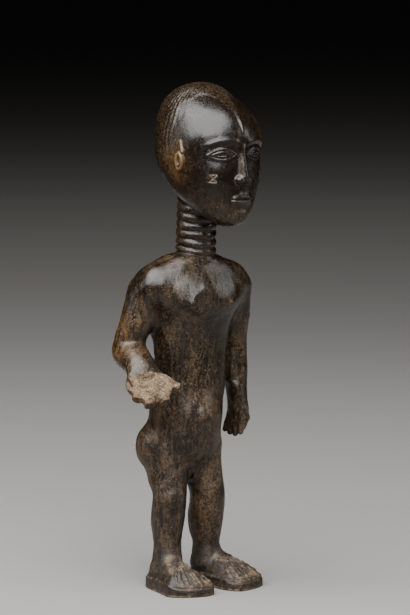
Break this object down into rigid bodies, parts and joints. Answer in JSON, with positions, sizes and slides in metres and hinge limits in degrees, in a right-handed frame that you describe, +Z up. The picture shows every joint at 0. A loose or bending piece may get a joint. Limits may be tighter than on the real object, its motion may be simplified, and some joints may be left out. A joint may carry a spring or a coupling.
{
  "type": "carved wooden figure",
  "caption": "Standing figure carved from a single block of dark wood, with a ringed neck, a bent right arm with an open palm, and sandalled feet.",
  "frame": {"origin": "on the ground under the middle of the figure's bounding box", "axes": "+Z up, the figure faces -Y, its left side is +X"},
  "size_m": [0.1258, 0.1028, 0.374],
  "materials": {
    "wood": "dark glossy patina, worn pale and matt on the open hand"
  },
  "bodies": {
    "root": {"figure": "wood"}
  },
  "joints": []
}
